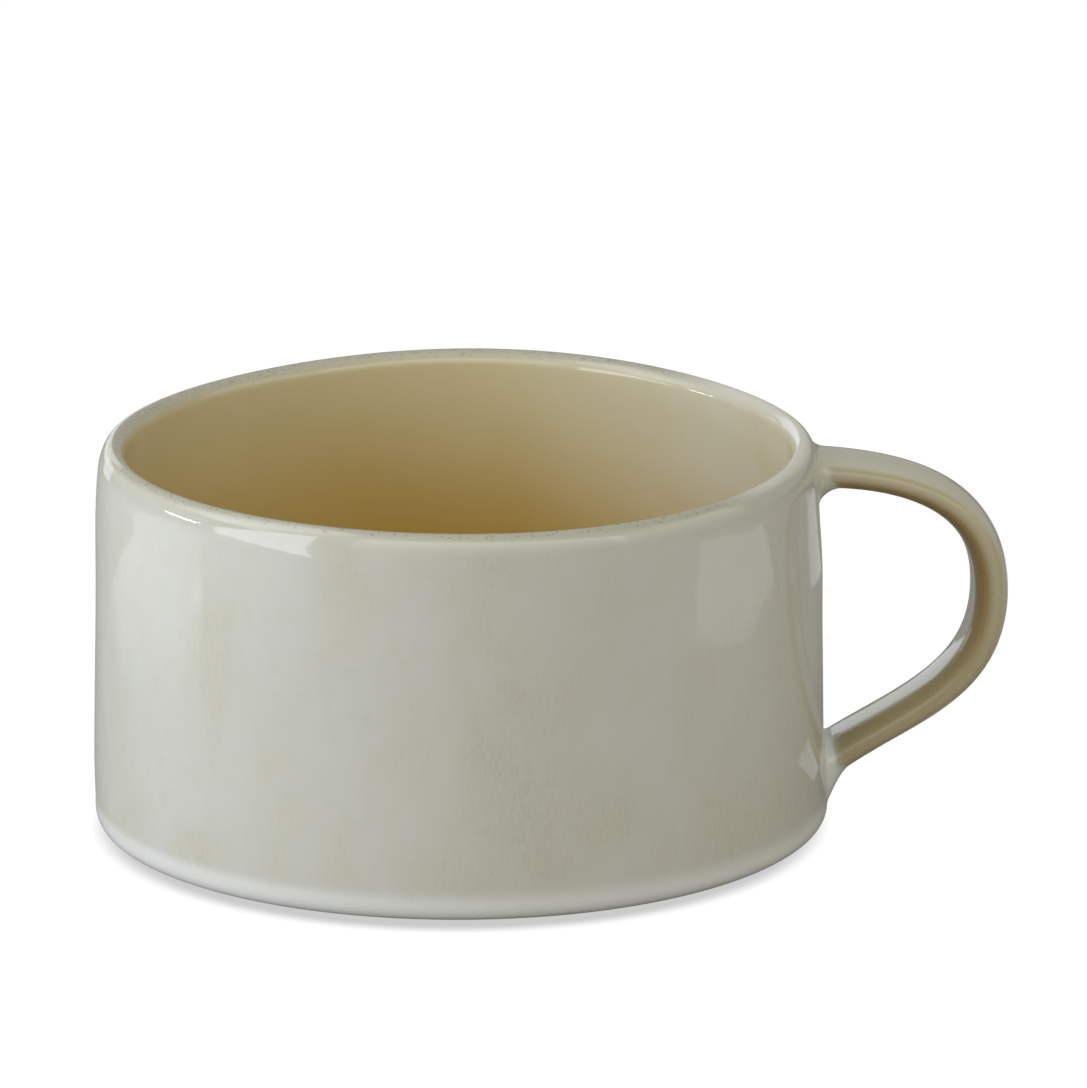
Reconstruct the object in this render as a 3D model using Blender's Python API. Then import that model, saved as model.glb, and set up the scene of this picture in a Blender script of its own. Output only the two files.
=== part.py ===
"""Wide ceramic soup mug with one loop handle, modelled as a single closed solid.

Metres, +Z up. The origin is the middle of the flat base. The handle points along +X.
"""

import math

import bmesh
import bpy
import numpy as np

# Body, turned about Z
FOOT_RADIUS = 0.0600
RIM_RADIUS = 0.0593
HEIGHT = 0.0633
WALL = 0.0042
LIP_OUTER_RISE = 0.0030
LIP_INNER_RISE = 0.0024
FOOT_ROUND = 0.0030
FOOT_SQUARENESS = 2.5
FOOT_EASE = 0.00015
FLOOR = 0.0050
FLOOR_RING = 0.0300
INNER_ROUND = 0.0090
SEGMENTS = 64

# Uneven hand-made rim: (lobes, size, azimuth of a peak in degrees) of its rise and its swell
RIM_RISE = ((2, 0.00011, -74.0), (3, 0.00030, -34.0), (4, 0.00015, -13.0))
RIM_SWELL = ((2, 0.00075, 79.5), (3, 0.00046, -61.5))

# Handle, a flattened loop in the XZ plane, a little thicker at its widest reach and at its roots
HANDLE_REACH = 0.0870
HANDLE_WIDTH = 0.0140
HANDLE_THICKNESS = 0.00475
HANDLE_BELLY = 0.0010
ROOT_FLARE = 0.0009
ROOT_FLARE_POWER = 12
SECTION_SQUARENESS = 2.5
SECTION_SAMPLES = 721
UPPER_ROOT_HEIGHT = 0.0573
UPPER_ROOT_FALL = math.radians(4.0)
LOWER_ROOT_HEIGHT = 0.0080
LOWER_ROOT_RISE = math.radians(35.5)
WIDEST_HEIGHT = 0.0366
UPPER_PULL = (0.0188, 0.0123)
LOWER_PULL = (0.0172, 0.0145)
ROOT_DEPTH = 0.0050
HANDLE_RINGS = 34

# Fillet radius at the handle's outer face, its inner face and its edges, for each root, and the
# share of the loop's length in which each root is looked for
UPPER_FILLET = (0.0014, 0.0030, 0.0018)
LOWER_FILLET = (0.0039, 0.0016, 0.0020)
FILLET_STRETCH = 1.3
FILLET_RINGS = 3
CROSSING_REACH = 0.25
CROSSING_SAMPLES = 400
FILLET_PULL = 1.3

# Windows left open in the wall's grid, a little larger than the fillets' feet, which close them
WINDOW_COLUMNS = 4
WINDOW_ROWS = 6
LOWER_WINDOW = (0.0004, 0.0144)
UPPER_WINDOW = (0.0490, 0.0621)

GLAZE_COLOUR = (0.46, 0.45, 0.38, 1.0)
GLAZE_ROUGHNESS = 0.22
MERGE_DISTANCE = 1e-6
SHARP_ANGLE = math.radians(40.0)


def lobes(angle, waves):
    """Sum of cosines round the rim."""
    return sum(size * np.cos(count * (angle - math.radians(peak))) for count, size, peak in waves)


def hand_shaped(angle, radius, height):
    """Point of the body, with the rim's uneven rise and swell growing from the foot up."""
    share = np.clip(height / HEIGHT, 0.0, 1.0)
    radius = radius + share * lobes(angle, RIM_SWELL) * radius / FOOT_RADIUS
    height = height + share**2 * lobes(angle, RIM_RISE)
    return np.stack([radius * np.cos(angle), radius * np.sin(angle), height], axis=-1)


def wall_radius(height):
    """Outer radius at a height: the foot's rounded edge, a straight wall, the lip's shoulder."""
    share = np.clip((height - FOOT_ROUND) / (HEIGHT - FOOT_ROUND), 0.0, 1.0)
    straight = FOOT_RADIUS + (RIM_RADIUS - FOOT_RADIUS) * share
    foot = np.clip(1.0 - height / FOOT_ROUND, 0.0, 1.0)
    foot_inset = FOOT_ROUND * (1.0 - (1.0 - foot**FOOT_SQUARENESS)**(1.0 / FOOT_SQUARENESS))
    lip = np.clip(1.0 - (HEIGHT - height) / LIP_OUTER_RISE, 0.0, 1.0)
    lip_inset = WALL / 2 * (1.0 - np.sqrt(1.0 - lip**2))
    return straight - foot_inset - lip_inset


def wall_point(angle, height):
    return hand_shaped(angle, wall_radius(height), height)


def body_profile():
    """Half section (radius, height) from the base's middle, over the lip, to the floor's middle."""
    points = [(0.0, 0.0), (FLOOR_RING, 0.0), (FOOT_RADIUS - FOOT_ROUND, 0.0)]
    points.append((wall_radius(FOOT_EASE), FOOT_EASE))
    heights = np.concatenate([
        np.linspace(*LOWER_WINDOW, WINDOW_ROWS + 1),
        np.linspace(LOWER_WINDOW[1], UPPER_WINDOW[0], 6)[1:-1],
        np.linspace(*UPPER_WINDOW, WINDOW_ROWS + 1),
    ])
    points += [(wall_radius(height), height) for height in heights]

    lip_middle = RIM_RADIUS - WALL / 2
    shoulder = math.asin(1.0 - (HEIGHT - UPPER_WINDOW[1]) / LIP_OUTER_RISE)
    for turn in np.linspace(shoulder, math.pi / 2, 5)[1:]:
        points.append((lip_middle + WALL / 2 * math.cos(turn),
                       HEIGHT - LIP_OUTER_RISE * (1.0 - math.sin(turn))))
    for turn in np.linspace(math.pi / 2, math.pi, 5)[1:]:
        points.append((lip_middle + WALL / 2 * math.cos(turn),
                       HEIGHT - LIP_INNER_RISE * (1.0 - math.sin(turn))))

    inner_top = np.array([RIM_RADIUS - WALL, HEIGHT - LIP_INNER_RISE])
    inner_foot = np.array([FOOT_RADIUS - WALL, FLOOR + INNER_ROUND])
    points += [tuple(inner_top + (inner_foot - inner_top) * share)
               for share in np.linspace(0.0, 1.0, 7)[1:-1]]
    for turn in np.linspace(0.0, math.pi / 2, 6):
        points.append((inner_foot[0] - INNER_ROUND * (1.0 - math.cos(turn)),
                       inner_foot[1] - INNER_ROUND * math.sin(turn)))
    return points + [(FLOOR_RING, FLOOR), (0.0, FLOOR)]


def bezier(first, second, third, last, count=60):
    share = np.linspace(0.0, 1.0, count)[:, None]
    rest = 1.0 - share
    return rest**3 * first + 3 * rest**2 * share * second + 3 * rest * share**2 * third + share**3 * last


def handle_path():
    """Middle line of the loop as (reach, height), from inside the upper root to inside the lower."""
    widest = np.array([HANDLE_REACH, WIDEST_HEIGHT])
    upper_root = np.array([FOOT_RADIUS, UPPER_ROOT_HEIGHT])
    lower_root = np.array([FOOT_RADIUS, LOWER_ROOT_HEIGHT])
    up = np.array([0.0, 1.0])
    fall = np.array([math.cos(UPPER_ROOT_FALL), -math.sin(UPPER_ROOT_FALL)])
    rise = np.array([math.cos(LOWER_ROOT_RISE), math.sin(LOWER_ROOT_RISE)])
    upper = bezier(upper_root, upper_root + UPPER_PULL[0] * fall, widest + UPPER_PULL[1] * up, widest)
    lower = bezier(widest, widest - LOWER_PULL[0] * up, lower_root + LOWER_PULL[1] * rise, lower_root)
    return np.vstack([upper_root - ROOT_DEPTH * fall, upper, lower[1:], lower_root - ROOT_DEPTH * rise])


PATH = handle_path()
TRAVEL = np.concatenate([[0.0], np.cumsum(np.hypot(*np.diff(PATH, axis=0).T))])
HEADING = np.gradient(PATH, TRAVEL, axis=0)


def handle_point(travel, side, face):
    """Point of the loop's skin: travel along its middle line, side and face from -1 to 1."""
    reach, height = (np.interp(travel, TRAVEL, PATH[:, axis]) for axis in (0, 1))
    ahead, climb = (np.interp(travel, TRAVEL, HEADING[:, axis]) for axis in (0, 1))
    length = np.hypot(ahead, climb)
    turn = math.pi * travel / TRAVEL[-1]
    thickness = (HANDLE_THICKNESS + HANDLE_BELLY * np.sin(turn)**2
                 + ROOT_FLARE * np.cos(turn)**ROOT_FLARE_POWER)
    out = face * thickness / 2
    across = side * HANDLE_WIDTH / 2
    skin = np.broadcast_arrays(reach - out * climb / length, across, height + out * ahead / length)
    return np.stack(skin, axis=-1)


def section_outline(shares):
    """Side and face, from -1 to 1, round the handle's flattened section, and the outward normals.

    A superellipse, read at the given shares of its length, from its +Y edge towards its outer face.
    """
    turn = np.linspace(0.0, 2.0 * math.pi, SECTION_SAMPLES)
    power = 2.0 / SECTION_SQUARENESS
    side = np.sign(np.cos(turn)) * np.abs(np.cos(turn))**power
    face = np.sign(np.sin(turn)) * np.abs(np.sin(turn))**power
    steps = np.hypot(np.diff(side) * HANDLE_WIDTH, np.diff(face) * HANDLE_THICKNESS)
    length = np.concatenate([[0.0], np.cumsum(steps)])
    side = np.interp(shares * length[-1], length, side)
    face = np.interp(shares * length[-1], length, face)
    slope = SECTION_SQUARENESS - 1.0
    normal = np.stack([np.sign(side) * np.abs(side)**slope / HANDLE_WIDTH,
                       np.sign(face) * np.abs(face)**slope / HANDLE_THICKNESS], axis=-1)
    return side, face, normal / np.linalg.norm(normal, axis=-1, keepdims=True)


def window_shares(window):
    """Share of a window's outline at each of its grid points, from the middle of its +Y side."""
    column = 2.0 * math.pi / SEGMENTS * FOOT_RADIUS
    row = (window[1] - window[0]) / WINDOW_ROWS
    half = WINDOW_ROWS // 2
    steps = [row] * half + [column] * WINDOW_COLUMNS + [row] * WINDOW_ROWS + [column] * WINDOW_COLUMNS
    steps += [row] * half
    return np.concatenate([[0.0], np.cumsum(steps)[:-1]]) / sum(steps)


def wall_crossing(upper, side, face):
    """Travel at which each line along the handle's skin comes out of the wall."""
    travel = np.linspace(0.0, CROSSING_REACH * TRAVEL[-1], CROSSING_SAMPLES)
    if not upper:
        travel = TRAVEL[-1] - travel
    skin = handle_point(travel[:, None], side, face)
    wall = wall_point(np.arctan2(skin[..., 1], skin[..., 0]), skin[..., 2])
    clear = np.hypot(skin[..., 0], skin[..., 1]) - np.hypot(wall[..., 0], wall[..., 1])
    return np.array([np.interp(0.0, column, travel) for column in clear.T])


def root_rings(fillet, upper, side, face, normal):
    """Rings of one root's fillet, from the wall to the handle, and the travel at which they end."""
    outer, inner, edge = fillet
    broad = np.where(normal[:, 1] > 0.0, outer, inner)
    radius = edge * normal[:, 0]**2 + broad * normal[:, 1]**2
    forward = 1.0 if upper else -1.0

    crossing = wall_crossing(upper, side, face)
    meet = handle_point(crossing, side, face)
    foot = wall_point(np.arctan2(meet[:, 1], meet[:, 0]) + radius * normal[:, 0] / FOOT_RADIUS,
                      meet[:, 2] + forward * radius * normal[:, 1])
    end = crossing + forward * FILLET_STRETCH * radius
    top = handle_point(end, side, face)
    from_wall = FILLET_PULL * (meet - foot)
    along = FILLET_PULL * (top - meet)
    rings = []
    for share in np.linspace(0.0, 1.0, FILLET_RINGS + 2):
        foot_weight = 2 * share**3 - 3 * share**2 + 1
        rings.append(foot_weight * foot + (share**3 - 2 * share**2 + share) * from_wall
                     + (1.0 - foot_weight) * top + (share**3 - share**2) * along)
    return rings, end


def handle_rings():
    """All rings of the handle, from the upper window to the lower one."""
    shares = (window_shares(UPPER_WINDOW) + window_shares(LOWER_WINDOW)) / 2
    side, face, normal = section_outline(shares)
    upper, start = root_rings(UPPER_FILLET, True, side, face, normal)
    lower, end = root_rings(LOWER_FILLET, False, side, face, normal)
    middle = [handle_point(start + (end - start) * share, side, face)
              for share in np.linspace(0.0, 1.0, HANDLE_RINGS + 2)[1:-1]]
    return upper + middle + lower[::-1]


def turned_body(mesh):
    """Spin the profile, then give the rim its hand-made unevenness."""
    verts = [mesh.verts.new((radius, 0.0, height)) for radius, height in body_profile()]
    edges = [mesh.edges.new(pair) for pair in zip(verts, verts[1:])]
    bmesh.ops.spin(mesh, geom=verts + edges, axis=(0.0, 0.0, 1.0), cent=(0.0, 0.0, 0.0),
                   angle=2.0 * math.pi, steps=SEGMENTS, use_duplicate=False)
    bmesh.ops.remove_doubles(mesh, verts=mesh.verts, dist=MERGE_DISTANCE)
    for vert in mesh.verts:
        x, y, z = vert.co
        vert.co = hand_shaped(math.atan2(y, x), math.hypot(x, y), z)


def cut_window(mesh, window):
    """Delete the outer wall's faces in one window."""
    half_angle = WINDOW_COLUMNS * math.pi / SEGMENTS
    inside = []
    for face in mesh.faces:
        x, y, z = face.calc_center_median()
        outer = math.hypot(x, y) > wall_radius(z) - WALL / 2
        if outer and abs(math.atan2(y, x)) < half_angle and window[0] < z < window[1]:
            inside.append(face)
    bmesh.ops.delete(mesh, geom=inside, context='FACES')


def ring_edges(mesh, points):
    verts = [mesh.verts.new(point) for point in points]
    return [mesh.edges.new((verts[i - 1], verts[i])) for i in range(len(verts))]


def add_handle(mesh):
    """Cut the two windows, and bridge the handle's rings to each other and to their edges."""
    cut_window(mesh, UPPER_WINDOW)
    cut_window(mesh, LOWER_WINDOW)
    open_edges = [edge for edge in mesh.edges if edge.is_boundary]
    previous = [edge for edge in open_edges if edge.verts[0].co.z > HEIGHT / 2]
    lower_edges = [edge for edge in open_edges if edge.verts[0].co.z < HEIGHT / 2]
    for points in handle_rings():
        current = ring_edges(mesh, points)
        bmesh.ops.bridge_loops(mesh, edges=previous + current)
        previous = current
    bmesh.ops.bridge_loops(mesh, edges=previous + lower_edges)


def glaze():
    material = bpy.data.materials.new("glazed_stoneware")
    material.use_nodes = True
    shader = material.node_tree.nodes["Principled BSDF"]
    shader.inputs["Base Color"].default_value = GLAZE_COLOUR
    shader.inputs["Roughness"].default_value = GLAZE_ROUGHNESS
    shader.inputs["Metallic"].default_value = 0.0
    return material


def make_mug():
    mesh = bmesh.new()
    turned_body(mesh)
    add_handle(mesh)
    bmesh.ops.recalc_face_normals(mesh, faces=mesh.faces)
    data = bpy.data.meshes.new("soup_mug")
    mesh.to_mesh(data)
    mesh.free()
    data.shade_smooth()
    data.set_sharp_from_angle(angle=SHARP_ANGLE)
    data.materials.append(glaze())
    bpy.context.scene.collection.objects.link(bpy.data.objects.new("soup_mug", data))


for old in list(bpy.data.objects):
    bpy.data.objects.remove(old, do_unlink=True)
make_mug()
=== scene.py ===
"""Wide ceramic soup mug: its glazed surface, floor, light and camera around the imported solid.

Metres, +Z up, as the frame has it. The mug stands on Z = 0 and its handle points along +X.
"""

import math

import bpy
import numpy as np
from mathutils import Matrix, Vector


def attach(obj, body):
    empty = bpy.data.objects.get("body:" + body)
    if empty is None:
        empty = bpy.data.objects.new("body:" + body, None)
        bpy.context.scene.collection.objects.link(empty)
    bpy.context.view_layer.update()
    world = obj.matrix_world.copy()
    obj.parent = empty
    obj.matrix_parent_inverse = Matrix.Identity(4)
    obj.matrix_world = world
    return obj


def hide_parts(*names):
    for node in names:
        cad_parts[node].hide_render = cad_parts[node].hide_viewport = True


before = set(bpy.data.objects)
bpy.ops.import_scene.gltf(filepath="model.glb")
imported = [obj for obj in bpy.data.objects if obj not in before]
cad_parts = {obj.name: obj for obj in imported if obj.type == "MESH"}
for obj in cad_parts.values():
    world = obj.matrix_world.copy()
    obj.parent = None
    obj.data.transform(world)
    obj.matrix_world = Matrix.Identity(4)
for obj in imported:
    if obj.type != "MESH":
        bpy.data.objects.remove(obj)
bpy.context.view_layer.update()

# Body, as in the solid, with the lip's outer shoulder drawn out a little longer
FOOT_RADIUS = 0.0600
RIM_RADIUS = 0.0593
HEIGHT = 0.0633
WALL = 0.0042
LIP_OUTER_RISE = 0.0044
# Extra length of the shoulder where the rim was pressed softer: (size, azimuth, spread in degrees)
SHOULDER_SAG = (0.0005, -116.0, 16.0)
LIP_INNER_RISE = 0.0024
FOOT_ROUND = 0.0030
FOOT_SQUARENESS = 2.5
FLOOR = 0.0050
INNER_ROUND = 0.0090

# Uneven hand-made rim: (lobes, size, azimuth of a peak in degrees) of its rise and its swell
RIM_RISE = ((2, 0.00011, -74.0), (3, 0.00030, -34.0), (4, 0.00015, -13.0))
RIM_SWELL = ((2, 0.00075, 79.5), (3, 0.00046, -61.5))

# Slow waves that throwing left in the wall: (rounds, size, azimuth of a peak, ups over the height, start)
WALL_WAVES = (
    (2, 0.000050, 150.0, 4.1, 0.6),
    (5, 0.000055, -70.0, 2.3, 2.1),
    (7, 0.000040, 20.0, 3.3, 4.0),
    (11, 0.000022, -110.0, 1.7, 1.2),
)
# They fade out over this height at the foot and at the rim
WAVE_FADE = 0.006
# Dents and bulges of the wall: (size, azimuth, height, spread in degrees, spread in height)
WALL_BUMPS = (
    (0.00034, -5.0, 0.0430, 13.0, 0.0075),
    (-0.00062, 175.0, 0.0640, 42.0, 0.0085),
    (-0.00020, 176.0, 0.0035, 30.0, 0.0045),
    (0.00030, -8.0, 0.0010, 26.0, 0.0030),
    # Crease that the turning tool left above the foot, and a third as deep all round
    (-0.00010, -140.0, 0.0042, 42.0, 0.00045),
    (-0.00010 / 3, 0.0, 0.0042, 400.0, 0.00045),
)

# Traces of throwing inside: share of the outer waves and their turn in radians, (size, rise of one turn) of
# the wall's spiral, and (size, number) of the floor's rings
INNER_WAVES = 0.6
INNER_WAVE_TURN = 2.0
INNER_SPIRAL = (0.000018, 0.0041)
FLOOR_RIPPLE = (0.00006, 7.0)

# Handle, as in the solid
HANDLE_REACH = 0.0870
HANDLE_WIDTH = 0.0140
HANDLE_THICKNESS = 0.00475
HANDLE_BELLY = 0.0010
ROOT_FLARE = 0.0009
ROOT_FLARE_POWER = 12
SECTION_SQUARENESS = 2.5
UPPER_ROOT_HEIGHT = 0.0573
UPPER_ROOT_FALL = math.radians(4.0)
LOWER_ROOT_HEIGHT = 0.0080
LOWER_ROOT_RISE = math.radians(35.5)
WIDEST_HEIGHT = 0.0366
# Pull of each half's Bezier curve, at its first and at its last point
UPPER_PULL = (0.0188, 0.0123)
LOWER_PULL = (0.0172, 0.0145)
ROOT_DEPTH = 0.0050
# Fillets at the strap's outer face, inner face and edges
UPPER_FILLET = (0.0014, 0.0030, 0.0018)
LOWER_FILLET = (0.0039, 0.0016, 0.0020)
# How many fillet sizes its curve runs up the handle, and how strongly it keeps its direction at both ends
FILLET_STRETCH = 1.3
FILLET_PULL = 1.3
# Share of the loop's length within which it comes out of the wall
ROOT_SHARE = 0.25

# How finely the surface is drawn. The windows are the two parts of the wall that the handle's roots replace.
COLUMNS = 360
BASE_RINGS = 11
FOOT_ROWS = 5
MIDDLE_ROWS = 24
CREST_ROWS = 10
LIP_ROWS = 12
INNER_WALL_ROWS = 38
CORNER_ROWS = 16
FLOOR_ROWS = 29
WINDOW_COLUMNS = 22
WINDOW_ROWS = 20
LOWER_WINDOW = (0.0004, 0.0144)
UPPER_WINDOW = (0.0490, 0.0622)
WALL_RINGS = 5
FILLET_RINGS = 12
HANDLE_RINGS = 190
SECTION_STEPS = 2880
CROSSING_STEPS = 800

# Height below the crest where the wall's glaze starts to turn to the lip's
LIP_GLAZE_EDGE = 0.0012
# Where the pale pool of glaze lies, painted paler low down as a reflected highlight, and where the handle's
# own glaze starts and is full, as shares of the fillet from its foot up
POOL_MIDDLE = 0.62
POOL_SPREAD = 0.5
HANDLE_GLAZE = (0.5, 1.25)

# Sizes of the patterns in the glaze and the clay. Clouds and runs have one size across and one up.
CLOUD_SIZE = (0.018, 0.030)
MOTTLE_SIZE = 0.0035
RUN_SIZE = (0.0005, 0.0018)
GRIT_SIZE = 0.0006
FLOW_SIZE = 0.0060
PIT_SIZE = 0.0008
CLAY_GRAIN_SIZE = 0.0009
TURNING_MARK_SIZE = 0.0006
# Distance in which the wave texture repeats at scale 1
WAVE_REPEAT = math.pi / 10

# Camera, measured in the picture: a long lens, a little above the mug, with the handle turned slightly away
PICTURE = (1087, 1088)
BASE_PIXEL = (460.44, 812.04)
PIXELS_PER_METRE = 6090.0
CAMERA_DISTANCE = 1.500
CAMERA_PITCH = math.radians(15.449)
HANDLE_TURN = math.radians(5.0)
SENSOR = 36.0

# Floor: half its side, a white that is seen burnt out, and the shade round the foot, with its shift to the
# front and the radii where it starts to fade and is gone
FLOOR_HALF = 4.0
BURNT_OUT = (1.02, 1.02, 1.02, 1.0)
SHADE_SHIFT = 0.0045
SHADE_EDGE = (0.0560, 0.0612)

# Soft daylight from the left: name, corner, side along, side up, radiance, colour, and the shares of its
# length over which it fades in and out. +X is to the picture's right and +Y to its back. The lights named
# after the table are pale patches of it, which the wall and the handle mirror.
LIGHTS = (
    ("window", (-0.90, -0.03, 0.114), (0.0, 0.22, 0.0), (0.0, 0.0, 0.018), 50.0, "EAF2FF", None),
    ("window_above", (-0.80, -0.65, 0.35), (0.0, 1.0, 0.0), (0.45, 0.0, 0.50), 2.9, "F2F6FF", (0.5, 0.5)),
    ("window_behind", (-0.45, 0.80, 0.0), (0.33, 0.14, 0.0), (0.0, 0.0, 0.40), 0.9, "F2F6FF", None),
    ("window_far", (-0.334, 0.368, 0.0), (0.078, 0.046, 0.0), (0.0, 0.0, 0.13), 0.95, "F2F6FF", None),
    ("side_panel", (-0.213, -0.217, 0.008), (-1.08, 0.0, 0.0), (0.0, 0.0, 0.20), 4.1, "EEF4FF", None),
    ("front_fill", (-0.7, -1.0, 0.0), (0.0, 0.0, 1.0), (2.1, 0.0, 0.0), 2.2, "FFFDF8", (0.99, 0.01)),
    ("right_fill", (1.2, -1.0, 0.0), (0.0, 0.0, 0.9), (0.0, 1.3, 0.0), 1.15, "FFFBF2", (0.7, 0.01)),
    ("table_left", (-0.125, 0.11, 0.001), (-0.36, 0.0, 0.0), (0.0, -0.158, 0.0), 0.66, "F2F6FF",
     (0.22, 0.01)),
    ("table_glint", (-0.222, -0.032, 0.001), (-0.036, 0.0, 0.0), (0.0, -0.022, 0.0), 1.2, "F2F6FF",
     (0.4, 0.4)),
    ("table_right", (0.19, -0.07, 0.001), (0.08, 0.0, 0.0), (0.0, 0.13, 0.0), 0.7, "F0F4FF", None),
    ("table_back", (0.1365, 0.118, 0.001), (0.0355, 0.060, 0.0), (-0.0431, 0.0254, 0.0), 0.34, "F4F2FF",
     None),
    ("table_near", (0.072, 0.012, 0.001), (0.020, 0.0, 0.0), (0.0, 0.030, 0.0), 0.35, "F4F2FF", None),
)
ROOM_COLOUR = "FDFCF2"
ROOM_STRENGTH = 0.42


def share_of(value, start, end):
    """How far value is from start to end, kept between 0 and 1."""
    return np.clip((value - start) / (end - start), 0.0, 1.0)


def spreads_from(angle, peak, spread):
    """How many spreads angle is from peak, the short way round. Peak and spread are in degrees."""
    return np.angle(np.exp(1j * (angle - math.radians(peak)))) / math.radians(spread)


def lobes(angle, waves):
    """Sum of cosines round the rim."""
    return sum(size * np.cos(count * (angle - math.radians(peak))) for count, size, peak in waves)


def unevenness(angle, height):
    """Outward shift of the wall: cosines round it times cosines up it, plus a few bell-shaped bumps."""
    climb = np.pi * height / HEIGHT
    shift = sum(size * np.cos(rounds * (angle - math.radians(peak))) * np.cos(ups * climb + start)
                for rounds, size, peak, ups, start in WALL_WAVES)
    shift = shift * share_of(height, 0.0, WAVE_FADE) * share_of(height, HEIGHT, HEIGHT - WAVE_FADE)
    for size, peak, middle, spread, spread_up in WALL_BUMPS:
        away = spreads_from(angle, peak, spread)
        shift = shift + size * np.exp(-away**2 - ((height - middle) / spread_up)**2)
    return shift


def hand_shaped(angle, radius, height):
    """Point of the body, with the rim's uneven rise and swell growing from the foot up."""
    share = np.clip(height / HEIGHT, 0.0, 1.0)
    radius = radius + share * lobes(angle, RIM_SWELL) * radius / FOOT_RADIUS
    height = height + share**2 * lobes(angle, RIM_RISE)
    return np.stack([radius * np.cos(angle), radius * np.sin(angle), height], axis=-1)


def wall_radius(angle, height):
    """Outer radius: a straight wall, less the foot's superelliptic corner and the lip's elliptic shoulder."""
    straight = FOOT_RADIUS + (RIM_RADIUS - FOOT_RADIUS) * share_of(height, FOOT_ROUND, HEIGHT)
    foot = np.clip(1.0 - height / FOOT_ROUND, 0.0, 1.0)
    foot_inset = FOOT_ROUND * (1.0 - (1.0 - foot**FOOT_SQUARENESS)**(1.0 / FOOT_SQUARENESS))
    size, peak, spread = SHOULDER_SAG
    shoulder = LIP_OUTER_RISE + size * np.exp(-spreads_from(angle, peak, spread)**2)
    lip = np.clip(1.0 - (HEIGHT - height) / shoulder, 0.0, 1.0)
    lip_inset = WALL / 2 * (1.0 - np.sqrt(1.0 - lip**2))
    return straight - foot_inset - lip_inset + unevenness(angle, height)


def wall_point(angle, height):
    """Point of the outer wall: its radius at that azimuth and height, shaped by hand."""
    return hand_shaped(angle, wall_radius(angle, height), height)


def wall_heights():
    """Heights of the outer wall's rows, from the base to the lip's crest, and where each window starts.

    Rows lie closer together towards the base, evenly through the upper window, and over the shoulder at
    even steps of its ellipse's turn.
    """
    low, lower_end = LOWER_WINDOW
    upper_start, high = UPPER_WINDOW
    foot = low * np.linspace(0.0, 1.0, FOOT_ROWS + 1)[:-1]**1.5
    lower = low + (lower_end - low) * np.linspace(0.0, 1.0, WINDOW_ROWS + 1)**1.6
    middle = np.linspace(lower_end, upper_start, MIDDLE_ROWS + 2)[1:-1]
    upper = np.linspace(upper_start, high, WINDOW_ROWS + 1)
    shoulder = math.asin(1.0 - (HEIGHT - high) / LIP_OUTER_RISE)
    turn = np.linspace(shoulder, math.pi / 2, CREST_ROWS + 1)[1:]
    crest = HEIGHT - LIP_OUTER_RISE * (1.0 - np.sin(turn))
    rows = np.concatenate([foot, lower, middle, upper, crest])
    return rows, len(foot), len(foot) + len(lower) + len(middle)


def body_grid():
    """Rows of points round the body from the base over the lip to the floor, how far inside each row is, and
    which row is the wall's first.

    The base is flat rings, the outer side is wall_point, the lip's inner side a quarter ellipse, the inner
    wall a straight taper with a faint throwing spiral, and the floor a quarter circle and rings with a
    faint ripple.
    """
    angle = np.linspace(0.0, 2.0 * math.pi, COLUMNS, endpoint=False)
    crest = wall_radius(angle, HEIGHT)
    lip_end = HEIGHT - LIP_INNER_RISE
    corner_radius = FOOT_RADIUS - WALL

    base = np.linspace(0.1, 1.0, BASE_RINGS + 1)[:-1, None]
    zones = [(base * wall_radius(angle, 0.0), 0.0 * base, 0.0 * base)]

    height = wall_heights()[0][:, None]
    how_far = 0.5 * share_of(height, HEIGHT - LIP_GLAZE_EDGE, HEIGHT)
    zones.append((wall_radius(angle, height), height, how_far))

    turn = np.linspace(math.pi / 2, math.pi, LIP_ROWS + 1)[1:, None]
    height = HEIGHT - LIP_INNER_RISE * (1.0 - np.sin(turn))
    zones.append((crest + WALL / 2 * np.cos(turn), height, 0.5 + 0.5 * share_of(turn, math.pi / 2, math.pi)))

    share = np.linspace(0.0, 1.0, INNER_WALL_ROWS + 2)[1:-1, None]
    height = lip_end + (FLOOR + INNER_ROUND - lip_end) * share
    taper = (crest - WALL / 2) * (1.0 - share) + corner_radius * share
    size, rise = INNER_SPIRAL
    traces = (size * np.cos(height / rise * 2.0 * math.pi + angle)
              + INNER_WAVES * unevenness(angle + INNER_WAVE_TURN, height))
    zones.append((taper + traces * np.sin(math.pi * share), height, 1.0 + 0.0 * share))

    turn = np.linspace(0.0, math.pi / 2, CORNER_ROWS)[:, None]
    radius = corner_radius - INNER_ROUND * (1.0 - np.cos(turn))
    zones.append((radius, FLOOR + INNER_ROUND * (1.0 - np.sin(turn)), 1.0 + 0.0 * turn))

    share = np.linspace(1.0, 0.03, FLOOR_ROWS + 1)[1:, None]
    size, count = FLOOR_RIPPLE
    ripple = size * (1.0 + np.sin(2.0 * math.pi * share * count)) * share * (1.0 - share)
    zones.append(((corner_radius - INNER_ROUND) * share, FLOOR + ripple, 1.0 + 0.0 * share))

    grid = np.concatenate([hand_shaped(angle, radius, height) for radius, height, _ in zones])
    inside = np.concatenate([how_far.ravel() for _, _, how_far in zones])
    return grid, inside, len(base)


def bezier(first, second, third, last, count=200):
    """Cubic Bezier curve through first and last, leaving and arriving along second and third."""
    share = np.linspace(0.0, 1.0, count)[:, None]
    rest = 1.0 - share
    return rest**3 * first + 3 * rest**2 * share * second + 3 * rest * share**2 * third + share**3 * last


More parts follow.
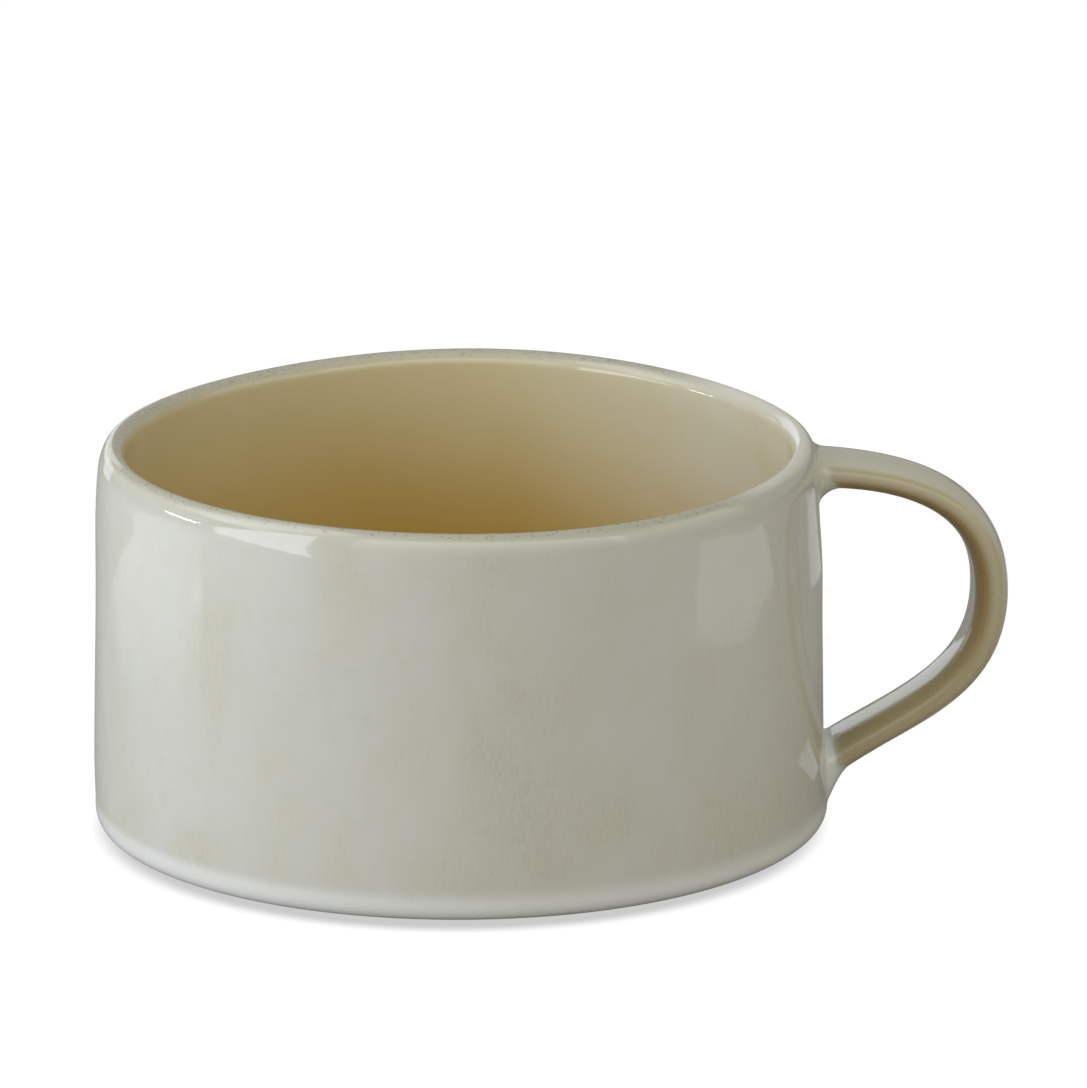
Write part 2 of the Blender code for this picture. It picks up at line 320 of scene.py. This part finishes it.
def handle_path():
    """Middle line of the loop as (reach, height), from inside the upper root to inside the lower.

    Two Bezier curves that meet upright at the widest point, with a straight end into the wall at each root.
    """
    widest = np.array([HANDLE_REACH, WIDEST_HEIGHT])
    upper_root = np.array([FOOT_RADIUS, UPPER_ROOT_HEIGHT])
    lower_root = np.array([FOOT_RADIUS, LOWER_ROOT_HEIGHT])
    up = np.array([0.0, 1.0])
    fall = np.array([math.cos(UPPER_ROOT_FALL), -math.sin(UPPER_ROOT_FALL)])
    rise = np.array([math.cos(LOWER_ROOT_RISE), math.sin(LOWER_ROOT_RISE)])
    upper = bezier(upper_root, upper_root + UPPER_PULL[0] * fall, widest + UPPER_PULL[1] * up, widest)
    lower = bezier(widest, widest - LOWER_PULL[0] * up, lower_root + LOWER_PULL[1] * rise, lower_root)
    return np.vstack([upper_root - ROOT_DEPTH * fall, upper, lower[1:], lower_root - ROOT_DEPTH * rise])


PATH = handle_path()
TRAVEL = np.concatenate([[0.0], np.cumsum(np.hypot(*np.diff(PATH, axis=0).T))])
HEADING = np.gradient(PATH, TRAVEL, axis=0)


def handle_point(travel, side, face):
    """Point of the loop's skin: travel along its middle line, side and face from -1 to 1.

    The strap is a little thicker at mid-length, by a squared sine, and at both roots, by a high power of a
    cosine.
    """
    reach, height = (np.interp(travel, TRAVEL, PATH[:, axis]) for axis in (0, 1))
    ahead, climb = (np.interp(travel, TRAVEL, HEADING[:, axis]) for axis in (0, 1))
    length = np.hypot(ahead, climb)
    turn = math.pi * travel / TRAVEL[-1]
    thickness = (HANDLE_THICKNESS + HANDLE_BELLY * np.sin(turn)**2
                 + ROOT_FLARE * np.cos(turn)**ROOT_FLARE_POWER)
    out = face * thickness / 2
    across = side * HANDLE_WIDTH / 2
    skin = np.broadcast_arrays(reach - out * climb / length, across, height + out * ahead / length)
    return np.stack(skin, axis=-1)


def section_outline(shares):
    """Side and face, from -1 to 1, at shares of the way round the handle's superelliptic section, and the
    outward normals there.
    """
    turn = np.linspace(0.0, 2.0 * math.pi, SECTION_STEPS + 1)
    power = 2.0 / SECTION_SQUARENESS
    side = np.sign(np.cos(turn)) * np.abs(np.cos(turn))**power
    face = np.sign(np.sin(turn)) * np.abs(np.sin(turn))**power
    steps = np.hypot(np.diff(side) * HANDLE_WIDTH, np.diff(face) * HANDLE_THICKNESS)
    length = np.concatenate([[0.0], np.cumsum(steps)])
    side = np.interp(shares * length[-1], length, side)
    face = np.interp(shares * length[-1], length, face)
    slope = SECTION_SQUARENESS - 1.0
    normal = np.stack([np.sign(side) * np.abs(side)**slope / HANDLE_WIDTH,
                       np.sign(face) * np.abs(face)**slope / HANDLE_THICKNESS], axis=-1)
    return side, face, normal / np.linalg.norm(normal, axis=-1, keepdims=True)


def window_walk(first_row, upper):
    """Row and column of each grid point round a window.

    The walk starts at the middle of the window's +Y side and goes towards the handle's outer face.
    """
    half_columns = WINDOW_COLUMNS // 2
    half_rows = WINDOW_ROWS // 2
    out = 1 if upper else -1
    right = np.full(half_rows, half_columns)
    rows = np.concatenate([
        out * np.arange(half_rows),
        np.full(WINDOW_COLUMNS, out * half_rows),
        out * (half_rows - np.arange(WINDOW_ROWS)),
        np.full(WINDOW_COLUMNS, -out * half_rows),
        out * (np.arange(half_rows) - half_rows),
    ])
    across = half_columns - np.arange(WINDOW_COLUMNS)
    columns = np.concatenate([right, across, np.full(WINDOW_ROWS, -half_columns), -across, right])
    return first_row + half_rows + rows, columns % COLUMNS


def window_edge(grid, first_row, upper):
    """Numbers, azimuths and rows of the grid points round a window, and each one's share of the way round."""
    rows, columns = window_walk(first_row, upper)
    angle = np.angle(np.exp(2j * math.pi * columns / COLUMNS))
    points = grid[rows, columns]
    steps = np.linalg.norm(np.roll(points, -1, axis=0) - points, axis=1)
    shares = np.concatenate([[0.0], np.cumsum(steps)[:-1]]) / steps.sum()
    return rows * COLUMNS + columns, angle, rows, shares


def wall_crossing(upper, side, face):
    """Travel at which each line along the handle's skin comes out of the wall."""
    travel = np.linspace(0.0, ROOT_SHARE * TRAVEL[-1], CROSSING_STEPS)
    if not upper:
        travel = TRAVEL[-1] - travel
    skin = handle_point(travel[:, None], side, face)
    wall = wall_point(np.arctan2(skin[..., 1], skin[..., 0]), skin[..., 2])
    clear = np.hypot(skin[..., 0], skin[..., 1]) - np.hypot(wall[..., 0], wall[..., 1])
    return np.array([np.interp(0.0, column, travel) for column in clear.T])


def root_rings(upper, edge_angle, edge_height, side, face, normal):
    """Rings of one root: along the wall from its window's edge, then up the fillet onto the handle.

    The wall's rings lie on wall_point, evenly between the edge and the fillet's foot. Each fillet line is
    a Hermite curve that leaves along the wall and arrives along the handle.
    """
    outer, inner, edge = UPPER_FILLET if upper else LOWER_FILLET
    broad = np.where(normal[:, 1] > 0.0, outer, inner)
    radius = edge * normal[:, 0]**2 + broad * normal[:, 1]**2
    forward = 1.0 if upper else -1.0

    crossing = wall_crossing(upper, side, face)
    meet = handle_point(crossing, side, face)
    meet_angle = np.arctan2(meet[:, 1], meet[:, 0])
    foot_angle = meet_angle + radius * normal[:, 0] / FOOT_RADIUS
    foot_height = meet[:, 2] + forward * radius * normal[:, 1]
    rings = [wall_point(edge_angle + (foot_angle - edge_angle) * share,
                        edge_height + (foot_height - edge_height) * share)
             for share in np.linspace(0.0, 1.0, WALL_RINGS + 2)[1:-1]]

    foot = wall_point(foot_angle, foot_height)
    end = crossing + forward * FILLET_STRETCH * radius
    top = handle_point(end, side, face)
    # Both slopes are measured over this small share of the way to where handle and wall would meet
    small = 0.02
    beside_foot = wall_point(foot_angle + small * (meet_angle - foot_angle),
                             foot_height + small * (meet[:, 2] - foot_height))
    before_top = handle_point(end - small * (end - crossing), side, face)
    from_wall = FILLET_PULL * (beside_foot - foot) / small
    along = FILLET_PULL * (top - before_top) / small
    for share in np.linspace(0.0, 1.0, FILLET_RINGS + 2):
        foot_weight = 2 * share**3 - 3 * share**2 + 1
        rings.append(foot_weight * foot + (share**3 - 2 * share**2 + share) * from_wall
                     + (1.0 - foot_weight) * top + (share**3 - share**2) * along)
    return rings, end


def strip_faces(first, second):
    """Quads between two closed rows of point numbers."""
    return np.stack([first, np.roll(first, -1), np.roll(second, -1), second], axis=-1)


def point_values(inside_rows, ring_count, face):
    """What the glaze reads at each point: how far inside the body it is, and where on the loop."""
    from_end = np.minimum(np.arange(ring_count), np.arange(ring_count)[::-1])
    fillets = (from_end - WALL_RINGS) / FILLET_RINGS
    on_rings = {
        "inside": np.zeros((ring_count, 1)),
        "handle": share_of(fillets, *HANDLE_GLAZE)[:, None],
        "pool": np.exp(-((fillets - POOL_MIDDLE) / POOL_SPREAD)**2)[:, None],
        "face": face,
        "along": np.linspace(0.0, 1.0, ring_count)[:, None],
    }
    on_body = {"inside": np.repeat(inside_rows, COLUMNS)}
    elsewhere = np.zeros(len(inside_rows) * COLUMNS)
    at_centres = {"inside": (0.0, 1.0)}
    return {name: np.concatenate([on_body.get(name, elsewhere),
                                  np.broadcast_to(value, (ring_count, len(face))).ravel(),
                                  at_centres.get(name, (0.0, 0.0))])
            for name, value in on_rings.items()}


def mug_surface():
    """Points, quads, triangles and per-point values of the whole mug as one closed skin.

    The body's grid has a window at each root. The handle's rings run from one window's edge to the other's.
    """
    grid, inside_rows, first_wall_row = body_grid()
    heights, lower_start, upper_start = wall_heights()
    lower_row = first_wall_row + lower_start
    upper_row = first_wall_row + upper_start
    row_count = len(grid)
    number = np.arange(row_count * COLUMNS).reshape(row_count, COLUMNS)

    column = np.arange(COLUMNS)
    behind_handle = (column < WINDOW_COLUMNS // 2) | (column >= COLUMNS - WINDOW_COLUMNS // 2)
    keep = np.ones((row_count - 1, COLUMNS), bool)
    for first_row in (lower_row, upper_row):
        keep[first_row:first_row + WINDOW_ROWS, behind_handle] = False
    quads = np.array([strip_faces(number[k], number[k + 1]) for k in range(row_count - 1)])[keep]

    upper_numbers, upper_angle, upper_rows, upper_shares = window_edge(grid, upper_row, True)
    lower_numbers, lower_angle, lower_rows, lower_shares = window_edge(grid, lower_row, False)
    section = section_outline((upper_shares + lower_shares) / 2)
    side, face, _ = section
    upper_rings, start = root_rings(True, upper_angle, heights[upper_rows - first_wall_row], *section)
    lower_rings, end = root_rings(False, lower_angle, heights[lower_rows - first_wall_row], *section)
    middle = [handle_point(start + (end - start) * share, side, face)
              for share in np.linspace(0.0, 1.0, HANDLE_RINGS + 2)[1:-1]]
    rings = np.array(upper_rings + middle + lower_rings[::-1])
    ring_numbers = number.size + np.arange(rings[..., 0].size).reshape(rings.shape[:2])
    ring_numbers = np.vstack([upper_numbers, ring_numbers, lower_numbers])
    loop_quads = np.concatenate([strip_faces(a, b) for a, b in zip(ring_numbers, ring_numbers[1:])])

    centres = np.array([[0.0, 0.0, 0.0], [0.0, 0.0, FLOOR]])
    points = np.concatenate([grid.reshape(-1, 3), rings.reshape(-1, 3), centres])
    base_centre = len(points) - 2
    floor_centre = len(points) - 1
    triangles = np.concatenate([
        np.stack([np.full(COLUMNS, base_centre), np.roll(number[0], -1), number[0]], axis=-1),
        np.stack([np.full(COLUMNS, floor_centre), number[-1], np.roll(number[-1], -1)], axis=-1),
    ])
    values = point_values(inside_rows, len(rings), face)
    return points, np.concatenate([quads, loop_quads]), triangles, values


def mesh_of(name, points, quads, triangles):
    """Mesh of quads and triangles without the points that no face uses, and which points it kept."""
    used = np.unique(np.concatenate([quads.ravel(), triangles.ravel()]))
    renumber = np.full(len(points), -1)
    renumber[used] = np.arange(len(used))
    corners = np.concatenate([renumber[quads].ravel(), renumber[triangles].ravel()])
    sizes = np.concatenate([np.full(len(quads), 4), np.full(len(triangles), 3)])
    data = bpy.data.meshes.new(name)
    data.vertices.add(len(used))
    data.vertices.foreach_set("co", points[used].astype(np.float32).ravel())
    data.loops.add(len(corners))
    data.loops.foreach_set("vertex_index", corners.astype(np.int32))
    data.polygons.add(len(sizes))
    data.polygons.foreach_set("loop_start", np.concatenate([[0], np.cumsum(sizes)[:-1]]).astype(np.int32))
    data.update(calc_edges=True)
    data.validate()
    data.shade_smooth()
    return data, used


def linear(hex_colour):
    """Linear colour of an sRGB hex value such as C8C6BD."""
    parts = [int(hex_colour[i:i + 2], 16) / 255.0 for i in (0, 2, 4)]
    return tuple(p / 12.92 if p <= 0.04045 else ((p + 0.055) / 1.055)**2.4 for p in parts) + (1.0,)


def add_node(tree, kind, inputs=(), **settings):
    """Adds a node with its settings. Each input is set to a value, or linked where a socket is given."""
    made = tree.nodes.new(kind)
    for name, value in settings.items():
        setattr(made, name, value)
    for name, value in dict(inputs).items():
        if isinstance(value, bpy.types.NodeSocket):
            tree.links.new(value, made.inputs[name])
        else:
            made.inputs[name].default_value = value
    return made


def new_material(name):
    """Material of that name, its nodes and its main shader."""
    material = bpy.data.materials.new(name)
    material.use_nodes = True
    tree = material.node_tree
    return material, tree, tree.nodes["Principled BSDF"]


def coats(tree, ground, *layers):
    """Colour of a ground under coats, each given as (colour, value, start, end).

    A coat covers what is under it more and more as its value goes from start to end. A colour is a hex
    value, a linear colour or a socket.
    """
    under = linear(ground) if isinstance(ground, str) else ground
    for over, value, start, end in layers:
        over = linear(over) if isinstance(over, str) else over
        cover = add_node(tree, "ShaderNodeMapRange", {"Value": value, "From Min": start, "From Max": end},
                         interpolation_type="SMOOTHSTEP").outputs["Result"]
        under = add_node(tree, "ShaderNodeMix", {0: cover, 6: under, 7: over}, data_type="RGBA").outputs[2]
    return under


def glazed_stoneware():
    """Glossy translucent glaze over cream stoneware.

    To the eye it is a milky, wet-looking skin: crisp mirror images of the windows over soft grey and beige
    clouds 15 to 30 mm wide, with faint runs. It is greyest on the lip. The foot is palest: pooled glaze with
    a painted reflection of the white table on it. Inside it goes amber with depth, partly pooled glaze and
    partly painted shade, and on the handle's side it stays cream lower down, painted light where the window
    lights the inner wall. It pools pale in the fillets, painted paler low down as a reflected highlight. On
    the handle's sides the tan and brown are painted shade where the strap turns from the light, with a
    painted reflection as the paler band and painted light on the pale inner face.
    Runs, pits and grit are about 0.2 mm wide on such a glaze. They are drawn coarser, at 0.5 to 0.8 mm,
    because finer ones would flicker at the size the mug is seen.
    """
    material, tree, shader = new_material("glazed_stoneware")
    place = add_node(tree, "ShaderNodeTexCoord").outputs["Object"]
    inside, handle, pool, face, along = (
        add_node(tree, "ShaderNodeAttribute", attribute_name=name).outputs["Fac"]
        for name in ("inside", "handle", "pool", "face", "along"))
    apart = add_node(tree, "ShaderNodeSeparateXYZ", {0: place})
    reach = apart.outputs["X"]
    height = apart.outputs["Z"]

    across, up = CLOUD_SIZE
    drawn_out = add_node(tree, "ShaderNodeMapping",
                         {"Vector": place, "Scale": (1.0 / across, 1.0 / across, 1.0 / up)}).outputs[0]
    cloud = add_node(tree, "ShaderNodeTexNoise",
                     {"Vector": drawn_out, "Scale": 1.0, "Detail": 4.0, "Roughness": 0.5,
                      "Distortion": 0.5}).outputs["Fac"]
    mottle = add_node(tree, "ShaderNodeTexNoise",
                      {"Vector": place, "Scale": 1.0 / MOTTLE_SIZE, "Detail": 3.0,
                       "Roughness": 0.6}).outputs["Fac"]
    across, up = RUN_SIZE
    run_down = add_node(tree, "ShaderNodeMapping",
                        {"Vector": place, "Scale": (1.0 / across, 1.0 / across, 1.0 / up)}).outputs[0]
    run = add_node(tree, "ShaderNodeTexNoise",
                   {"Vector": run_down, "Scale": 1.0, "Detail": 2.0, "Roughness": 0.6}).outputs["Fac"]
    streak = add_node(tree, "ShaderNodeMath", {0: run, 1: cloud}, operation="MULTIPLY").outputs[0]
    grit = add_node(tree, "ShaderNodeTexNoise",
                    {"Vector": place, "Scale": 1.0 / GRIT_SIZE, "Detail": 1.0}).outputs["Fac"]

    wall = coats(tree, "C3C3BC",
                 ("C0BEB0", cloud, 0.34, 0.66),          # beige clouds
                 ("C0C0B6", mottle, 0.45, 0.75),         # fine mottling
                 ("B9B7AA", streak, 0.25, 0.50),         # runs where the clouds are
                 # pale foot: a painted reflection of the white table over pooled glaze
                 ("D6D8D5", height, 0.0062, 0.0018),     # pale foot
                 ("B7B6A8", height, 0.0585, 0.0620))     # greyer shoulder

    # Inside, amber grows with depth: pooled glaze deepened by painted shade. On the handle's side its ramp is
    # shifted 13 mm down and the cream is paler: painted light where the window lights the inner wall
    window_lit_side = add_node(tree, "ShaderNodeMapRange", {"Value": reach, "From Min": 0.0, "From Max": 0.050},
                           interpolation_type="SMOOTHSTEP").outputs["Result"]
    level = add_node(tree, "ShaderNodeMath", {0: window_lit_side, 1: 0.013, 2: height},
                     operation="MULTIPLY_ADD").outputs[0]
    # cream paler towards the handle's side: painted light of the window on the inner wall
    cream = coats(tree, "C1B68F", ("C8C4B0", reach, 0.0, 0.050))
    deep = coats(tree, "BDA464", ("B8994C", reach, -0.045, -0.005))
    olive = coats(tree, "C4BB9A", ("BA9D57", level, 0.066, 0.027))
    # amber with depth: pooled glaze and painted shade of the deep inside
    amber = coats(tree, cream, (deep, level, 0.066, 0.027), (olive, cloud, 0.40, 0.80))

    # Crest is 0 on the wall and inside, and 0.5 on the lip's top
    crest = add_node(tree, "ShaderNodeMath", {0: inside, 1: 0.5}, operation="PINGPONG").outputs[0]
    lip = coats(tree, "A9A796",
                ("89877A", grit, 0.55, 0.75),            # speckles
                ("CDCCC2", reach, 0.036, 0.049))         # paler on the handle's side

    # The strap's sides are painted with light and shade: a tan line of painted shade at the edge, a paler band
    # of painted reflection below it, painted shade browning towards the inner face and on the lower arm, and
    # painted light on the pale inner face
    lower_arm_painted_shade = coats(tree, "A1946E", ("AFA383", face, -0.60, 0.40))
    strap = coats(tree, "B7B5A4",                        # outer face
                  ("AA9E80", face, 0.68, 0.46),          # tan line along its edge
                  ("B1A88C", face, 0.48, 0.20),          # paler side below that line
                  ("9A8055", face, 0.10, -0.50),         # brown towards the inner face
                  (lower_arm_painted_shade, along, 0.44, 0.72),        # even tan of the lower arm
                  ("D4D4D0", face, -0.90, -0.98))        # pale inner face
    # pale pool in the fillets, painted paler low down as the reflected highlight of the table
    pool_with_painted_sheen = coats(tree, "BDBBA8", ("D4D7D2", height, 0.045, 0.020))

    colour = coats(tree, wall,
                   (amber, inside, 0.55, 1.0),
                   (lip, crest, 0.05, 0.45),
                   (strap, handle, 0.0, 1.0),
                   (pool_with_painted_sheen, pool, 0.0, 1.0))
    tree.links.new(colour, shader.inputs["Base Color"])

    # Glossy, a little less so along the runs, and satin on the handle's sides where the glaze is thin
    rough = add_node(tree, "ShaderNodeMapRange",
                     {"Value": run, "From Min": 0.3, "From Max": 0.7, "To Min": 0.05, "To Max": 0.09})
    off_middle = add_node(tree, "ShaderNodeMath", {0: face}, operation="ABSOLUTE").outputs[0]
    satin = add_node(tree, "ShaderNodeMapRange",
                     {"Value": off_middle, "From Min": 0.85, "From Max": 0.55, "To Min": 0.0, "To Max": 0.22})
    dulled = add_node(tree, "ShaderNodeMath",
                      {0: handle, 1: satin.outputs["Result"], 2: rough.outputs["Result"]},
                      operation="MULTIPLY_ADD")
    tree.links.new(dulled.outputs[0], shader.inputs["Roughness"])
    shader.inputs["IOR"].default_value = 1.52

    flow = add_node(tree, "ShaderNodeTexNoise",
                    {"Vector": place, "Scale": 1.0 / FLOW_SIZE, "Detail": 2.0, "Roughness": 0.45})
    swell = add_node(tree, "ShaderNodeBump",
                     {"Height": flow.outputs["Fac"], "Strength": 1.0, "Distance": 0.00008})
    pit = add_node(tree, "ShaderNodeTexNoise", {"Vector": place, "Scale": 1.0 / PIT_SIZE, "Detail": 2.0})
    pitted = add_node(tree, "ShaderNodeBump",
                      {"Height": pit.outputs["Fac"], "Normal": swell.outputs[0], "Strength": 0.3,
                       "Distance": 0.00002})
    tree.links.new(pitted.outputs[0], shader.inputs["Normal"])
    return material


def bare_stoneware():
    """Unglazed fired stoneware of the wiped foot: to the eye dry, matt and buff, with fine turning marks."""
    material, tree, shader = new_material("bare_stoneware")
    place = add_node(tree, "ShaderNodeTexCoord").outputs["Object"]
    grain = add_node(tree, "ShaderNodeTexNoise",
                     {"Vector": place, "Scale": 1.0 / CLAY_GRAIN_SIZE, "Detail": 3.0}).outputs["Fac"]
    tree.links.new(coats(tree, "B7A88C", ("C6BAA0", grain, 0.3, 0.7)), shader.inputs["Base Color"])
    shader.inputs["Roughness"].default_value = 0.85
    marks = add_node(tree, "ShaderNodeTexWave",
                     {"Vector": place, "Scale": WAVE_REPEAT / TURNING_MARK_SIZE, "Distortion": 0.6},
                     wave_type="RINGS", rings_direction="Z")
    relief = add_node(tree, "ShaderNodeBump",
                      {"Height": marks.outputs["Fac"], "Strength": 0.5, "Distance": 0.00004})
    tree.links.new(relief.outputs[0], shader.inputs["Normal"])
    return material


def make_mug():
    """The whole mug as one piece, glazed all over but for its base."""
    points, quads, triangles, values = mug_surface()
    data, used = mesh_of("mug", points, quads, triangles)
    for name, value in values.items():
        attribute = data.attributes.new(name, "FLOAT", "POINT")
        attribute.data.foreach_set("value", value[used].astype(np.float32))
    data.materials.append(glazed_stoneware())
    data.materials.append(bare_stoneware())
    middles = np.empty(len(data.polygons) * 3, np.float32)
    data.polygons.foreach_get("center", middles)
    on_base = middles[2::3] < 1e-5
    data.polygons.foreach_set("material_index", on_base.astype(np.int32))
    mug = bpy.data.objects.new("mug", data)
    bpy.context.scene.collection.objects.link(mug)
    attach(mug, "root")
    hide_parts("soup_mug")


def make_camera():
    """Camera whose picture puts the base's middle on BASE_PIXEL, at PIXELS_PER_METRE there."""
    focal = PIXELS_PER_METRE * CAMERA_DISTANCE
    turn = Matrix.Rotation(-HANDLE_TURN, 3, "Z")
    ahead = turn @ Vector((0.0, math.cos(CAMERA_PITCH), -math.sin(CAMERA_PITCH)))
    right = turn @ Vector((1.0, 0.0, 0.0))
    up = right.cross(ahead)
    aside = (BASE_PIXEL[0] - PICTURE[0] / 2) / PIXELS_PER_METRE
    below = (BASE_PIXEL[1] - PICTURE[1] / 2) / PIXELS_PER_METRE
    place = -(ahead * CAMERA_DISTANCE + right * aside - up * below)
    data = bpy.data.cameras.new("camera")
    data.sensor_fit = "HORIZONTAL"
    data.sensor_width = SENSOR
    data.lens = SENSOR * focal / PICTURE[0]
    data.clip_start = 0.05
    data.clip_end = 50.0
    camera = bpy.data.objects.new("camera", data)
    camera.matrix_world = Matrix.Translation(place) @ Matrix((right, up, -ahead)).transposed().to_4x4()
    bpy.context.scene.collection.objects.link(camera)
    bpy.context.scene.camera = camera


def softbox(name, corner, along, up, radiance, colour, fade):
    """Flat rectangular light from its corner along two sides, shining towards along x up.

    Fade is None or the two shares of its length over which it fades in and out.
    """
    corner, along, up = (Vector(v) for v in (corner, along, up))
    data = bpy.data.lights.new(name, "AREA")
    data.shape = "RECTANGLE"
    data.size, data.size_y = along.length, up.length
    data.energy = radiance * math.pi * along.length * up.length
    data.color = linear(colour)[:3]
    light = bpy.data.objects.new(name, data)
    if fade:
        data.use_nodes = True
        tree = data.node_tree
        across = add_node(tree, "ShaderNodeNewGeometry").outputs["Parametric"]
        across = add_node(tree, "ShaderNodeSeparateXYZ", {0: across}).outputs["X"]
        ends = [add_node(tree, "ShaderNodeMapRange", {"Value": across, "From Min": edge, "From Max": full},
                         interpolation_type="SMOOTHSTEP").outputs["Result"]
                for edge, full in ((0.0, fade[0]), (1.0, 1.0 - fade[1]))]
        shine = add_node(tree, "ShaderNodeMath", {0: ends[0], 1: ends[1]}, operation="MULTIPLY")
        tree.links.new(shine.outputs[0], tree.nodes["Emission"].inputs["Strength"])
    back = -along.cross(up).normalized()
    turn = Matrix((along.normalized(), -up.normalized(), back)).transposed()
    place = Matrix.Translation(corner + along / 2 + up / 2) @ turn.to_4x4()
    light.matrix_world = Matrix.Rotation(-HANDLE_TURN, 4, "Z") @ place
    light.visible_camera = False
    bpy.context.scene.collection.objects.link(light)


def make_floor():
    """White floor, burnt out to the eye but for a soft shade round the foot. To the mug it is a grey table."""
    data = bpy.data.meshes.new("floor")
    corners = [(x * FLOOR_HALF, y * FLOOR_HALF, 0.0) for x, y in ((-1, -1), (1, -1), (1, 1), (-1, 1))]
    data.from_pydata(corners, [], [(0, 1, 2, 3)])
    material, tree, shader = new_material("white_table")
    place = add_node(tree, "ShaderNodeTexCoord").outputs["Object"]
    shift = (SHADE_SHIFT * math.sin(HANDLE_TURN), SHADE_SHIFT * math.cos(HANDLE_TURN), 0.0)
    moved = add_node(tree, "ShaderNodeVectorMath", {0: place, 1: shift}, operation="ADD").outputs[0]
    away = add_node(tree, "ShaderNodeVectorMath", {0: moved}, operation="LENGTH").outputs["Value"]
    white = coats(tree, "CACACB", (BURNT_OUT, away, *SHADE_EDGE))
    seen = add_node(tree, "ShaderNodeEmission", {"Color": white})
    cloth = add_node(tree, "ShaderNodeBsdfDiffuse", {"Color": linear("A5A39D")})
    eye = add_node(tree, "ShaderNodeLightPath").outputs["Is Camera Ray"]
    mix = add_node(tree, "ShaderNodeMixShader", {0: eye, 1: cloth.outputs[0], 2: seen.outputs[0]})
    tree.links.new(mix.outputs[0], tree.nodes["Material Output"].inputs["Surface"])
    tree.nodes.remove(shader)
    data.materials.append(material)
    floor = bpy.data.objects.new("floor", data)
    bpy.context.scene.collection.objects.link(floor)


def make_light():
    """The room's even glow and the soft lights of LIGHTS, shown without any film-like toning."""
    world = bpy.data.worlds.new("studio")
    world.use_nodes = True
    bpy.context.scene.world = world
    room = world.node_tree.nodes["Background"]
    room.inputs["Color"].default_value = linear(ROOM_COLOUR)
    room.inputs["Strength"].default_value = ROOM_STRENGTH
    for light in LIGHTS:
        softbox(*light)
    bpy.context.scene.view_settings.view_transform = "Standard"


make_mug()
make_floor()
make_light()
make_camera()
